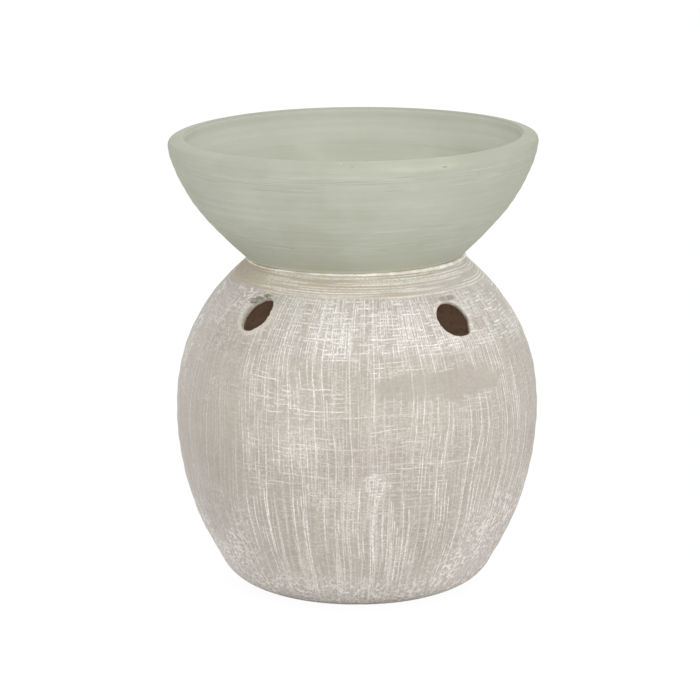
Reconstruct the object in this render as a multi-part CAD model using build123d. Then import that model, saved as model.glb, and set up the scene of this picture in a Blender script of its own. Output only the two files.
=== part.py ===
from build123d import *
import math
import os

# An unglazed terracotta oil burner: a round pot, a dish luted onto its neck with slip, and a tea light
# inside. Millimetres, +Z up. The origin is the middle of the flat foot. -Y is the front, and +Y the back,
# where the tea light goes in. The pot is turned about the Z axis.

# Pot, outside
foot_radius = 30.0
belly_radius = 54.1
belly_height = 53.5
neck_radius = 32.1
neck_height = 99.2
# Points of the pot's side, each as (share of the way out to the belly, share of the height up to it)
below_belly_shares = ((0.36, 0.093), (0.523, 0.206), (0.697, 0.357), (0.85, 0.545), (0.953, 0.75))
# The same above the belly, as (share of the way out to the belly, share of the height up to the neck)
above_belly_shares = ((0.965, 0.24), (0.84, 0.465), (0.603, 0.685), (0.312, 0.86))
# Directions in which the side leaves the foot and reaches the neck, in degrees from straight outwards
foot_rise_angle = 18.0
neck_close_angle = 137.0

# Pot, inside
pot_wall = 4.5
pot_floor = 6.0
pot_floor_radius = 26.0
neck_bore_radius = 24.0
neck_collar = 4.0
# Direction in which the inner wall leaves the collar, in degrees from straight outwards
collar_angle = -30.0
# Places along the pot's side, from foot to neck, under which the inner wall runs parallel to it
inner_wall_shares = (0.18, 0.34, 0.50, 0.66, 0.80, 0.90)

# Air vents in the shoulder, at azimuths counted from the front towards +X
vent_radius = 5.8
vent_height = 88.6
vent_azimuths = (-44.0, 42.0, 137.0, 223.0)

# Doorway at the back, through which the tea light slides
door_width = 50.0
door_height = 45.0
door_corner_radius = 4.0

# Dish, outside. Its heights are counted from its own foot.
dish_foot_radius = 32.1
dish_radius = 55.0
dish_height = 36.3
dish_widest_height = 34.2
# Points of the dish's side, each as (share of the way out to the rim, share of the height up to it)
dish_side_shares = ((0.21, 0.129), (0.435, 0.282), (0.64, 0.444), (0.8, 0.614), (0.912, 0.77))
dish_rise_angle = 42.0
# The lip slopes down outwards from its inner edge and rolls over into the side.
lip_edge_radius = 50.1
lip_edge_roll = 1.0
lip_slope_angle = 14.0

# Dish, inside and underneath
dish_wall = 5.0
dish_floor = 5.0
dish_floor_radius = 20.0
# Places along the dish's side, from foot to rim, behind which the bowl runs parallel to it
bowl_wall_shares = (0.30, 0.55, 0.78)
foot_recess_radius = 22.0
foot_recess_depth = 1.5

# How the dish sits on the neck: a little to the left and leaning, as it was set by hand
dish_offset = -0.75
dish_lean_angle = 0.7

# Slip that lutes the dish to the neck, with a bead that squeezes out round the seam
slip_thickness = 0.7
slip_bead_radius = 0.6

# Tea light
cup_base_radius = 18.3
cup_mouth_radius = 19.0
cup_height = 15.5
cup_wall = 0.3
cup_curl_radius = 0.5
cup_base_corner = 1.2
wax_below_rim = 2.2
wax_dip = 0.5
wax_edge_angle = 15.0
wick_radius = 0.9
wick_above_wax = 7.0
wick_tip_round = 0.5
sustainer_radius = 6.2
sustainer_thickness = 0.3
sustainer_neck_radius = 1.6
sustainer_neck_height = 3.2
# Gap between the tea light and the floor that it slides on
slide_clearance = 0.3

# How far a cutter runs past what it cuts
overrun = 5.0

quarter_turn = 90.0

# Directions in an outline, in degrees from straight outwards
upward = 90.0
inward = 180.0
downward = -90.0


def turned(*edges):
    """A solid of revolution about Z, from a closed outline in the XZ plane."""
    return revolve(Face(Wire(edges)), Axis.Z)


def line(start, end):
    """A straight edge of an outline. Points are (radius, height)."""
    return Line((start[0], 0, start[1]), (end[0], 0, end[1]))


def smooth(points, tangents):
    """A smooth edge through (radius, height) points, with the directions of its two ends."""
    spots = [(r, 0, z) for r, z in points]
    tangents = [(r, 0, z) for r, z in tangents]
    return Spline(*spots, tangents=tangents, tangent_scalars=(1.0, 1.0))


def slope(angle):
    """The (radius, height) direction that rises outwards at an angle."""
    return (math.cos(math.radians(angle)), math.sin(math.radians(angle)))


def inside(edge, share, depth):
    """The (radius, height) point that lies depth behind an outline's edge, at a share of its length."""
    spot = edge.position_at(share)
    way = edge.tangent_at(share)
    return (spot.X - depth * way.Z, spot.Z + depth * way.X)


def place_at_height(edge, height, halvings=50):
    """The share along an edge, above the belly, at which it reaches a height."""
    low, high = 0.0, 1.0
    for _ in range(halvings):
        middle = (low + high) / 2
        if edge.position_at(middle).Z < height:
            low = middle
        else:
            high = middle
    return low


def pot_side():
    """The pot's outer side, from the edge of its foot up to the neck."""
    below = [
        (foot_radius + out * (belly_radius - foot_radius), up * belly_height)
        for out, up in below_belly_shares
    ]
    above = [
        (neck_radius + out * (belly_radius - neck_radius), belly_height + up * (neck_height - belly_height))
        for out, up in above_belly_shares
    ]
    belly = (belly_radius, belly_height)
    points = [(foot_radius, 0), *below, belly, *above, (neck_radius, neck_height)]
    return smooth(points, (slope(foot_rise_angle), slope(neck_close_angle)))


def pot_blank():
    """The pot as it comes off the wheel, before its vents and doorway are cut."""
    side = pot_side()
    wall = [inside(side, share, pot_wall) for share in inner_wall_shares]
    collar = (neck_bore_radius, neck_height - neck_collar)
    inner_side = [collar, *reversed(wall), (pot_floor_radius, pot_floor)]
    return turned(
        line((0, 0), (foot_radius, 0)),
        side,
        line((neck_radius, neck_height), (neck_bore_radius, neck_height)),
        line((neck_bore_radius, neck_height), collar),
        smooth(inner_side, (slope(collar_angle), slope(inward))),
        line((pot_floor_radius, pot_floor), (0, pot_floor)),
        line((0, pot_floor), (0, 0)),
    )


def vent_cutter(azimuth):
    """A round punch square to the shoulder's surface, made at +X and then turned to its azimuth."""
    side = pot_side()
    share = place_at_height(side, vent_height)
    way = side.tangent_at(share)
    punch = Plane(origin=side.position_at(share), z_dir=(way.Z, 0, -way.X))
    cutter = punch * Cylinder(vent_radius, (pot_wall + overrun) * 2)
    return Rot(Z=azimuth - quarter_turn) * cutter


def doorway_cutter():
    """An upright arch with rounded bottom corners, from the middle of the pot out through its back."""
    crown_radius = door_width / 2
    spring_height = door_height - crown_radius
    arch = Pos(0, spring_height) * Circle(crown_radius)
    arch += Pos(0, spring_height / 2) * Rectangle(door_width, spring_height)
    arch &= Pos(0, door_height / 2) * Rectangle(door_width, door_height)
    corners = arch.vertices().group_by(Axis.Y)[0]
    arch = fillet(corners, door_corner_radius)
    return extrude(Plane.XZ * Pos(0, pot_floor) * arch, -(belly_radius + overrun))


def pot_whole():
    """The terracotta pot, hollow, open at the neck, with its vents and its doorway."""
    solid = pot_blank() - doorway_cutter()
    for azimuth in vent_azimuths:
        solid -= vent_cutter(azimuth)
    return solid


def pot():
    """The pot's wall, from its floor up to the neck, open at the foot of the doorway."""
    return split(pot_whole(), bisect_by=Plane.XY.offset(pot_floor), keep=Keep.TOP)


def pot_base():
    """The pot's base: the floor that the tea light stands on, with the flat foot under it."""
    return split(pot_whole(), bisect_by=Plane.XY.offset(pot_floor), keep=Keep.BOTTOM)


def dish_side():
    """The dish's outer side, from its foot up to where it is widest."""
    points = [
        (dish_foot_radius + out * (dish_radius - dish_foot_radius), up * dish_widest_height)
        for out, up in dish_side_shares
    ]
    return smooth(
        [(dish_foot_radius, 0), *points, (dish_radius, dish_widest_height)],
        (slope(dish_rise_angle), slope(upward)),
    )


def dish_turned():
    """The dish by itself, standing on its foot at the origin."""
    side = dish_side()
    bowl = [inside(side, share, dish_wall) for share in bowl_wall_shares]
    floor_height = foot_recess_depth + dish_floor
    floor_edge = (dish_floor_radius, floor_height)
    crest = (lip_edge_radius + lip_edge_roll, dish_height)
    inner_edge = (lip_edge_radius, dish_height - lip_edge_roll)
    return turned(
        line((0, foot_recess_depth), (foot_recess_radius, foot_recess_depth)),
        line((foot_recess_radius, foot_recess_depth), (foot_recess_radius, 0)),
        line((foot_recess_radius, 0), (dish_foot_radius, 0)),
        side,
        smooth([(dish_radius, dish_widest_height), crest], (slope(upward), slope(inward - lip_slope_angle))),
        smooth([crest, inner_edge], (slope(inward - lip_slope_angle), slope(downward))),
        smooth([inner_edge, *reversed(bowl), floor_edge], (slope(downward), slope(inward))),
        line(floor_edge, (0, floor_height)),
        line((0, floor_height), (0, foot_recess_depth)),
    )


def dish():
    """The dish as it was set on the neck, off centre and leaning."""
    seat = Pos(dish_offset, 0, neck_height + slip_thickness)
    return seat * Rot(Y=-dish_lean_angle) * dish_turned()


def luting_slip():
    """The slip between neck and dish, which fills what the leaning dish leaves, with its bead outside."""
    thickest = slip_thickness + 2 * dish_foot_radius * math.tan(math.radians(dish_lean_angle))
    seam_height = neck_height + slip_thickness / 2
    layer = turned(
        line((neck_bore_radius, neck_height), (neck_radius, neck_height)),
        line((neck_radius, neck_height), (neck_radius, neck_height + thickest)),
        line((neck_radius, neck_height + thickest), (neck_bore_radius, neck_height + thickest)),
        line((neck_bore_radius, neck_height + thickest), (neck_bore_radius, neck_height)),
    )
    bead = Pos(0, 0, seam_height) * Torus(neck_radius, slip_bead_radius)
    return layer + bead - pot_blank() - dish()


def cup_bottom():
    """The height of the tea light's underside."""
    return pot_floor + slide_clearance


def cup_inner_radius(height):
    """The cup's inner radius at a height above its underside, over the corner at its base."""
    rise = (height - cup_base_corner) / (cup_height - cup_base_corner)
    return cup_base_radius + (cup_mouth_radius - cup_base_radius) * rise - cup_wall


def tealight_cup():
    """A pressed aluminium cup with a curled rim."""
    base = cup_base_radius - cup_base_corner
    inner_mouth = (cup_inner_radius(cup_height), cup_height)
    inner_corner = (cup_inner_radius(cup_base_corner), cup_base_corner)
    wall = turned(
        line((0, 0), (base, 0)),
        line((base, 0), (cup_base_radius, cup_base_corner)),
        line((cup_base_radius, cup_base_corner), (cup_mouth_radius, cup_height)),
        line((cup_mouth_radius, cup_height), inner_mouth),
        line(inner_mouth, inner_corner),
        line(inner_corner, (base, cup_wall)),
        line((base, cup_wall), (0, cup_wall)),
        line((0, cup_wall), (0, 0)),
    )
    curl = Pos(0, 0, cup_height - cup_curl_radius) * Torus(cup_mouth_radius, cup_curl_radius)
    return Pos(0, 0, cup_bottom()) * (wall + curl)


def wick_sustainer():
    """The tin tab that stands the wick up on the bottom of the cup."""
    disc = turned(
        line((0, cup_wall), (sustainer_radius, cup_wall)),
        line((sustainer_radius, cup_wall), (sustainer_radius, cup_wall + sustainer_thickness)),
        line((sustainer_radius, cup_wall + sustainer_thickness), (0, cup_wall + sustainer_thickness)),
        line((0, cup_wall + sustainer_thickness), (0, cup_wall)),
    )
    neck = Cylinder(sustainer_neck_radius, sustainer_neck_height)
    neck = Pos(0, 0, cup_wall + sustainer_neck_height / 2) * neck
    return Pos(0, 0, cup_bottom()) * (disc + neck) - wick()


def wick():
    """A straight cotton wick, from the sustainer's disc up through the wax."""
    start = cup_wall + sustainer_thickness
    end = cup_height - wax_below_rim + wick_above_wax
    rod = Pos(0, 0, (start + end) / 2) * Cylinder(wick_radius, end - start)
    rod = fillet(rod.edges().group_by(Axis.Z)[-1], wick_tip_round)
    return Pos(0, 0, cup_bottom()) * rod


def tealight_wax():
    """The wax, which fills the cup and dips a little towards the wick."""
    top = cup_height - wax_below_rim
    base = cup_base_radius - cup_base_corner
    corner = (cup_inner_radius(cup_base_corner), cup_base_corner)
    edge = (cup_inner_radius(top), top)
    fill = turned(
        line((0, cup_wall), (base, cup_wall)),
        line((base, cup_wall), corner),
        line(corner, edge),
        smooth([edge, (0, top - wax_dip)], (slope(inward + wax_edge_angle), slope(inward))),
        line((0, top - wax_dip), (0, cup_wall)),
    )
    return Pos(0, 0, cup_bottom()) * fill - wick_sustainer() - wick()


def main():
    os.makedirs("parts", exist_ok=True)
    pieces = (pot, pot_base, dish, luting_slip, tealight_cup, tealight_wax, wick_sustainer, wick)
    for make in pieces:
        export_step(make(), f"parts/{make.__name__}.step")


main()
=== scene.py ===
# %% [markdown]
# # Dressing an essential oil burner
#
# The object is an unglazed terracotta oil burner. A round pot carries a brushed, broken whitewash. An open
# dish, painted a chalky sage green, is luted onto its neck with white slip. A tea light stands inside, goes
# in through an arched doorway at the back, and warms the dish from below.
#
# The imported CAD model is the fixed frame. Each piece of this scene is made in metres where its CAD node
# stands, rides on the node's body, and replaces it. A pot thrown by hand is never quite true, so the pieces
# are turned from the same outlines as the solids and then loosened a little, always inside the CAD box.

# %% Load the frame
import math

import bmesh
import bpy
import numpy as np
from mathutils import Matrix, Vector, noise


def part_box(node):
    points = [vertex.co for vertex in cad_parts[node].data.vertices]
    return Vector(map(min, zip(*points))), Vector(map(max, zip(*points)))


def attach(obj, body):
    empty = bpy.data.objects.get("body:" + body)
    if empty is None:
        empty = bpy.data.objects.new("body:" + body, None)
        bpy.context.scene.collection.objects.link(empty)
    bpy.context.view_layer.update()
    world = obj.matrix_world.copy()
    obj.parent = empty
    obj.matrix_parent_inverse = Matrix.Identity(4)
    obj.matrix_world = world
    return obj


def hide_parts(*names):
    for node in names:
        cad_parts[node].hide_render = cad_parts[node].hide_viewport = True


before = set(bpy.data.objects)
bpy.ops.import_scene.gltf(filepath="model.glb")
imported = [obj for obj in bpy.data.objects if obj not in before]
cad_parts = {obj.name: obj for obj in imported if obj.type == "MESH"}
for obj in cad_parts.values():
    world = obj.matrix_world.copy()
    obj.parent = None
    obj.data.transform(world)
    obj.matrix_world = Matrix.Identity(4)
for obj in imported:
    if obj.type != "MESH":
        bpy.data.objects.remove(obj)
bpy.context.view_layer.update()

mm = 0.001

# %% [markdown]
# ## Camera
#
# The photograph was taken from a little above with a long lens, so the rim of the dish is a flat ellipse and
# verticals stay upright. The camera is worked out from the outline: its distance, its height, how far it
# tilts down, and its focal length in pixels of a frame 700 pixels wide.

# %% The camera
frame_width_px = 700
focal_length_px = 4106
tilt_down_degrees = 12.19
lens = bpy.data.cameras.new("studio_camera")
lens.sensor_width = 36
lens.lens = lens.sensor_width * focal_length_px / frame_width_px
camera = bpy.data.objects.new("studio_camera", lens)
camera.location = (-2.06 * mm, -1200 * mm, 329.7 * mm)
camera.rotation_euler = (math.radians(90 - tilt_down_degrees), 0, 0)
bpy.context.scene.collection.objects.link(camera)
bpy.context.scene.camera = camera
bpy.context.scene.view_settings.view_transform = "Standard"
print("lens", round(lens.lens, 2), "mm")

# %% [markdown]
# ## Helpers for nodes
#
# Every material here is a tree of nodes. Wiring each by hand takes four lines, so one helper adds a node,
# sets it up, and fills its inputs: a value is written into the socket, and another node's output is linked to
# it. An output knows its own tree, so the steps after the first node need not be told which tree it is.

# %% Add a node to a tree
def put(tree, kind, inputs=None, **settings):
    """Adds a node, and returns it. An input is a plain value, or another node's output."""
    node = tree.nodes.new(kind)
    for name, value in settings.items():
        setattr(node, name, value)
    for name, value in (inputs or {}).items():
        if isinstance(value, bpy.types.NodeSocket):
            tree.links.new(value, node.inputs[name])
        else:
            node.inputs[name].default_value = value
    return node


def step(kind, inputs, output=0, **settings):
    """Adds a node to the tree of the outputs that feed it, and returns one of its own outputs."""
    tree = next(value.id_data for value in inputs.values() if isinstance(value, bpy.types.NodeSocket))
    return put(tree, kind, inputs, **settings).outputs[output]


def calculate(operation, *values, clamp=False):
    """One step of arithmetic with numbers."""
    return step("ShaderNodeMath", dict(enumerate(values)), operation=operation, use_clamp=clamp)


def vector(operation, *values, output=0, **scale):
    """One step of arithmetic with points and directions."""
    return step("ShaderNodeVectorMath", {**dict(enumerate(values)), **scale}, output, operation=operation)


def separate(value, kind="XYZ"):
    """The three parts of a point, or of a colour."""
    return step("ShaderNodeSeparate" + kind, {0: value}).node.outputs


def from_axis(position):
    """The level direction in which a point lies from the axis that its piece was turned on."""
    return vector("NORMALIZE", vector("MULTIPLY", position, (1, 1, 0)))


def noisy(position, scale, detail=2.0, roughness=0.5, output="Fac"):
    """Noise that is 0.5 on average. The higher the scale, the finer it is."""
    inputs = {"Vector": position, "Scale": scale, "Detail": detail, "Roughness": roughness}
    return step("ShaderNodeTexNoise", inputs, output)


print("node helpers ready")

# %% [markdown]
# Masks are numbers from 0 to 1 that say where something is. A few words cover what is done with them: a ramp
# makes one from a height or from noise, and masks are laid over each other, multiplied or taken away.

# %% Masks and colours
def ramp(value, start, end, low=0.0, high=1.0):
    """A soft step: low below start, high above end."""
    inputs = {"Value": value, "From Min": start, "From Max": end, "To Min": low, "To Max": high}
    return step("ShaderNodeMapRange", inputs, interpolation_type="SMOOTHSTEP")


def shaken(value, by, size):
    """A value that noise pushes up and down, by half the size at most."""
    return calculate("MULTIPLY_ADD", calculate("SUBTRACT", by, 0.5), size, value)


def over(*layers):
    """Layers of paint: at each point the strongest counts."""
    strongest = layers[0]
    for layer in layers[1:]:
        strongest = calculate("MAXIMUM", strongest, layer)
    return strongest


def times(*shares):
    """The product of several masks or numbers."""
    product = shares[0]
    for share in shares[1:]:
        product = calculate("MULTIPLY", product, share)
    return product


def without(mask, share, gap):
    """A mask, less a share of it where the gap is."""
    return calculate("MULTIPLY", mask, calculate("MULTIPLY_ADD", gap, -share, 1))


def linear(color):
    """A colour as it looks on screen, three numbers up to 255, made linear. Any other is so already."""
    if isinstance(color, bpy.types.NodeSocket) or len(color) == 4:
        return color
    shares = [c / 255 for c in color]
    return (*[s / 12.92 if s < 0.04045 else ((s + 0.055) / 1.055) ** 2.4 for s in shares], 1.0)


def blend(share, below, above):
    """Two colours mixed by a share from 0 to 1."""
    return step("ShaderNodeMix", {0: share, 6: linear(below), 7: linear(above)}, 2, data_type="RGBA")


def paint_over(color, *layers):
    """A colour with other colours laid over it in turn. A layer is a share and its colour."""
    for share, above in layers:
        color = blend(share, color, above)
    return color


print("mask helpers ready")

# %% [markdown]
# ## Floor and light
#
# The studio is a white sweep under broad, soft light. It could be lit by lamps alone, but a white backdrop
# bright enough to read as white would then flood the clay. So the white belongs to what the camera sees: the
# world and the floor show white to camera rays, and to rays that a glossy surface sends back, while the clay
# is lit by a dimmer, even sky and three large soft boxes: the main one at the front right, one overhead for
# the bowl, and one behind. The floor keeps a share of its plain white surface, so that the pot's faint
# contact shadow stays.

# %% The sky
def is_seen(tree):
    """1 for rays from the camera, a glossy surface or glass, and 0 for the rays that light the object."""
    path = put(tree, "ShaderNodeLightPath").outputs
    seen = calculate("ADD", path["Is Camera Ray"], path["Is Glossy Ray"])
    return calculate("ADD", seen, path["Is Transmission Ray"], clamp=True)


sky_strength = 0.78
sky = bpy.data.worlds.new("studio_sky")
bpy.context.scene.world = sky
sky.use_nodes = True
tree = sky.node_tree
tree.nodes.clear()
even_light = put(tree, "ShaderNodeBackground", {"Color": (1.0, 0.99, 0.98, 1), "Strength": sky_strength})
backdrop = put(tree, "ShaderNodeBackground", {"Color": (1, 1, 1, 1), "Strength": 1.0})
either = step("ShaderNodeMixShader", {0: is_seen(tree), 1: even_light.outputs[0], 2: backdrop.outputs[0]})
put(tree, "ShaderNodeOutputWorld", {"Surface": either})
print("sky of strength", sky_strength)

# %% The lamps
middle_of_object = Vector((0, 0, 0.07))
for name, stand, width, watts in (
    ("soft_box_front_right", Vector((0.33, -1.03, 0.68)), 0.7, 4.4),
    ("soft_box_overhead", Vector((-0.2, -0.35, 1.2)), 0.9, 2.1),
    ("soft_box_behind", Vector((0.1, 1.1, 0.45)), 0.8, 3.0),
):
    light = bpy.data.lights.new(name, "AREA")
    light.size = width
    light.energy = watts
    soft_box = bpy.data.objects.new(name, light)
    soft_box.location = stand
    soft_box.rotation_euler = (middle_of_object - soft_box.location).to_track_quat("-Z", "Y").to_euler()
    bpy.context.scene.collection.objects.link(soft_box)
    print("lamp", name, watts, "W")

# %% The floor
def new_piece(name, spots, faces):
    """A mesh object of that name in the scene."""
    mesh = bpy.data.meshes.new(name)
    mesh.from_pydata([tuple(spot) for spot in spots], [], faces)
    mesh.update()
    piece = bpy.data.objects.new(name, mesh)
    bpy.context.scene.collection.objects.link(piece)
    return piece


half_width = 4.0
corners = [(x * half_width, y * half_width, 0) for x, y in ((-1, -1), (1, -1), (1, 1), (-1, 1))]
floor = new_piece("studio_floor", corners, [(0, 1, 2, 3)])
white_share = 0.94
sweep = bpy.data.materials.new("studio_sweep")
sweep.use_nodes = True
tree = sweep.node_tree
tree.nodes.clear()
paper = put(tree, "ShaderNodeBsdfDiffuse", {"Color": (0.88, 0.88, 0.88, 1)}).outputs[0]
glow = put(tree, "ShaderNodeEmission", {"Color": (1, 1, 1, 1), "Strength": 1.02}).outputs[0]
either = step("ShaderNodeMixShader", {0: times(is_seen(tree), white_share), 1: paper, 2: glow})
put(tree, "ShaderNodeOutputMaterial", {"Surface": either})
floor.data.materials.append(sweep)
print("floor", 2 * half_width, "m wide")

# %% [markdown]
# ## Turning on the wheel
#
# Nearly everything here is turned, so two helpers do most of the modelling. The first draws a smooth
# curve through a few (radius, height) points, as a profile rib would, with a given direction at each end. A
# Bézier curve could do it, but a cubic through the points needs no handles. The second spins an outline
# into a skin of quads. Blender's Screw modifier does the same, but here the rings stay numbered, so that
# each one can be nudged afterwards.

# %% Smooth curves
def lengths_along(curve):
    """How far along a curve each of its points lies."""
    return np.concatenate([[0], np.cumsum(np.linalg.norm(np.diff(curve, axis=0), axis=1))])


def smooth(points, first_way, last_way, count):
    """Points along a smooth curve through a few points, with the given directions at its two ends."""
    spots = np.array(points, float)
    reach = np.linalg.norm(np.diff(spots, axis=0), axis=1)
    along = lengths_along(spots)
    size = len(spots)
    left, right = np.eye(size), np.zeros((size, 2))
    right[0], right[-1] = first_way, last_way
    for i in range(1, size - 1):
        before, after = reach[i - 1], reach[i]
        left[i, i - 1 : i + 2] = after, 2 * (before + after), before
        run_in, run_out = spots[i] - spots[i - 1], spots[i + 1] - spots[i]
        right[i] = 3 * (after / before * run_in + before / after * run_out)
    ways = np.linalg.solve(left, right)
    places = np.linspace(0, along[-1], count)
    k = np.clip(np.searchsorted(along, places, side="right") - 1, 0, size - 2)
    h = reach[k][:, None]
    t = (places[:, None] - along[k][:, None]) / h
    start, end = spots[k], spots[k + 1]
    return (
        (2 * t**3 - 3 * t**2 + 1) * start
        + (t**3 - 2 * t**2 + t) * h * ways[k]
        + (3 * t**2 - 2 * t**3) * end
        + (t**3 - t**2) * h * ways[k + 1]
    )


def way(angle):
    """The (radius, height) direction that rises outwards at an angle in degrees."""
    return (math.cos(math.radians(angle)), math.sin(math.radians(angle)))


def behind(curve, share, depth):
    """The point that lies depth behind a curve, at a share of its length."""
    along = lengths_along(curve)
    i = int(np.clip(np.searchsorted(along, share * along[-1]), 1, len(curve) - 1))
    run = (curve[i] - curve[i - 1]) / (along[i] - along[i - 1])
    spot = curve[i - 1] + run * (share * along[-1] - along[i - 1])
    return spot + depth * np.array([-run[1], run[0]])


def arc(middle, radius, angles):
    """Points on a circle, at angles in radians."""
    return [(middle[0] + radius * math.cos(a), middle[1] + radius * math.sin(a)) for a in angles]


def from_mm(points, lift=0.0):
    """Points of an outline given in millimetres, with their heights counted from a lift in metres."""
    return [(radius * mm, lift + height * mm) for radius, height in points]


print("curve helpers ready")

# %% Turned skins
def skin(name, outline, steps):
    """A mesh turned about Z from (radius, height) points. The outline starts and ends on the axis."""
    outline = np.array(outline, float)
    rings = outline[1:-1]
    count = len(rings)
    angles = np.arange(steps) * 2 * math.pi / steps
    x, y = np.outer(rings[:, 0], np.cos(angles)), np.outer(rings[:, 0], np.sin(angles))
    z = np.repeat(rings[:, 1, None], steps, axis=1)
    poles = [[0, 0, outline[0, 1]], [0, 0, outline[-1, 1]]]
    spots = np.concatenate([np.stack([x, y, z], axis=-1).reshape(-1, 3), poles])
    i, j = np.meshgrid(np.arange(count - 1), np.arange(steps), indexing="ij")
    a, b = i * steps + j, i * steps + (j + 1) % steps
    faces = np.stack([a, b, b + steps, a + steps], axis=-1).reshape(-1, 4).tolist()
    pole = count * steps
    faces += [(pole, (n + 1) % steps, n) for n in range(steps)]
    last = pole - steps
    faces += [(pole + 1, last + n, last + (n + 1) % steps) for n in range(steps)]
    return new_piece(name, spots, faces)


def spots_of(piece):
    """The piece's vertices as an array."""
    spots = np.empty(len(piece.data.vertices) * 3)
    piece.data.vertices.foreach_get("co", spots)
    return spots.reshape(-1, 3)


def move_spots(piece, spots):
    """Writes vertices back, and shades the piece smooth."""
    piece.data.vertices.foreach_set("co", spots.ravel())
    piece.data.shade_smooth()
    piece.data.update()


def polar(spots):
    """Each vertex's distance from the axis, and its angle round it."""
    return np.hypot(spots[:, 0], spots[:, 1]), np.arctan2(spots[:, 1], spots[:, 0])


def lumpy(spots, fineness):
    """Soft noise at each vertex, between -1 and 1."""
    return np.array([noise.noise(Vector(spot) * fineness) for spot in spots])


def write_layer(piece, name, values):
    """Writes a number at each vertex, for the material to read."""
    layer = piece.data.attributes.new(name, "FLOAT", "POINT")
    layer.data.foreach_set("value", np.array(values, np.float32))


def apply_modifiers(piece):
    """Turns what the modifiers show into the piece's own mesh."""
    shown = bpy.data.meshes.new_from_object(piece.evaluated_get(bpy.context.evaluated_depsgraph_get()))
    piece.modifiers.clear()
    piece.data = shown
    shown.name = piece.name


print("turning helpers ready")

# %% [markdown]
# ## The pot's two walls
#
# The pot swells from a flat foot to a belly a little above half its height and closes to a neck. Outside and
# inside are two separate curves: the inner one runs 4.5 mm behind the outer one and rolls in to the bore of
# the neck. The sizes come from the CAD nodes' boxes, and the points between are shares of them.

# %% The pot's outlines
base_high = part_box("pot_base")[1]
wall_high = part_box("pot")[1]
belly, neck_top, floor_top = wall_high.x, wall_high.z, base_high.z
foot, neck, bore, wall = 30 * mm, 32.1 * mm, 24 * mm, 4.5 * mm
belly_up = 53.5 * mm
below = [(0.36, 0.093), (0.523, 0.206), (0.697, 0.357), (0.85, 0.545), (0.953, 0.75)]
above = [(0.965, 0.24), (0.84, 0.465), (0.603, 0.685), (0.312, 0.86)]
outer_points = [(foot, 0)]
outer_points += [(foot + out * (belly - foot), up * belly_up) for out, up in below]
outer_points += [(belly, belly_up)]
outer_points += [(neck + out * (belly - neck), belly_up + up * (neck_top - belly_up)) for out, up in above]
outer_points += [(neck, neck_top)]
outer_ways = way(18), way(137)
outer_wall = smooth(outer_points, *outer_ways, 170)
inner_points = [(bore, neck_top - 4 * mm)]
inner_points += [behind(outer_wall, share, wall) for share in (0.9, 0.8, 0.66, 0.5, 0.34, 0.18)]
inner_points += [(26 * mm, floor_top)]
inner_ways = way(-30), way(180)
inner_wall = smooth(inner_points, *inner_ways, 150)
print("belly", round(belly / mm, 1), "neck", round(neck_top / mm, 1), "floor", round(floor_top / mm, 1), "mm")

# %% [markdown]
# ## Cutting the vents and the doorway
#
# On the real pot these are cut with a punch and a knife while the clay is leather-hard, so their edges are
# crisp but not true: the left vent has drawn out to a leaf, and the right one has nicks at its lower right.
# A boolean with round cylinders would look machined. Here each cutter is a prism with its own slightly
# wandering outline, the vents' set square to the shoulder, and one Boolean modifier takes them all away.
# A vent is given by its azimuth from the front, its height, how much the wall behind it is thinned, and its
# outline.

# %% Prisms that cut
cut_spots, cut_faces = [], []


def add_prism(outline, origin, across, up, out, start, end):
    """Adds a closed prism to the cutters: a flat outline carried from start to end along a direction."""
    ring = [origin + across * a + up * b for a, b in outline]
    first, n = len(cut_spots), len(ring)
    cut_spots.extend([spot + out * start for spot in ring] + [spot + out * end for spot in ring])
    near = [first + i for i in range(n)]
    cut_faces.append(near[::-1])
    cut_faces.append([n + i for i in near])
    cut_faces.extend([a, b, n + b, n + a] for a, b in zip(near, near[1:] + near[:1]))


def vent_outline(radius, wander, nicks=()):
    """A circle that wanders, as (turns, size, phase), with nicks out or in, as (angle, width, depth)."""
    outline = []
    for angle in (i * math.tau / 72 for i in range(72)):
        r = radius * (1 + sum(size * math.cos(turns * (angle - phase)) for turns, size, phase in wander))
        for place, width, depth in nicks:
            gap = math.remainder(angle - place, math.tau) / width
            r += depth * math.exp(-gap * gap)
        outline.append((r * math.cos(angle), r * math.sin(angle)))
    return outline


print("cutter helpers ready")

# %% The vents
vent_radius, cut_from, cut_to = 5.8 * mm, -9 * mm, 6 * mm
right_nicks = [(-0.86, 0.26, 0.8 * mm), (-0.48, 0.11, -0.5 * mm), (-0.2, 0.24, 0.25 * mm)]
vents = []
for azimuth, vent_height, thinned, outline in (
    (-43.6, 88.1 * mm, 0.42, vent_outline(5.2 * mm, [(2, 0.14, 1.1), (4, 0.025, 1.1)])),
    (40.2, 87.1 * mm, 0.62, vent_outline(5.5 * mm, [(2, 0.03, 2.2), (3, 0.015, 1.0)], right_nicks)),
    (137, 88.6 * mm, 0.4, vent_outline(vent_radius, [(2, 0.03, 0.4), (3, 0.02, 2.0)])),
    (223, 88.6 * mm, 0.4, vent_outline(vent_radius, [(2, 0.035, 1.4), (5, 0.012, 0.5)])),
):
    row = int(np.argmin(np.abs(outer_wall[:, 1] - vent_height)))
    slope = Vector((*(outer_wall[row + 1] - outer_wall[row - 1]), 0)).normalized()
    turn = math.radians(azimuth)
    ahead = Vector((math.sin(turn), -math.cos(turn), 0))
    across = Vector((math.cos(turn), math.sin(turn), 0))
    up = ahead * slope.x + Vector((0, 0, slope.y))
    out = ahead * slope.y - Vector((0, 0, slope.x))
    origin = ahead * outer_wall[row, 0] + Vector((0, 0, outer_wall[row, 1]))
    add_prism(outline, origin, across, up, out, cut_from, cut_to)
    vents.append((thinned, (origin, across, up, out)))
    print("vent at", azimuth, "degrees,", round(vent_height / mm, 1), "mm up")

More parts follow.
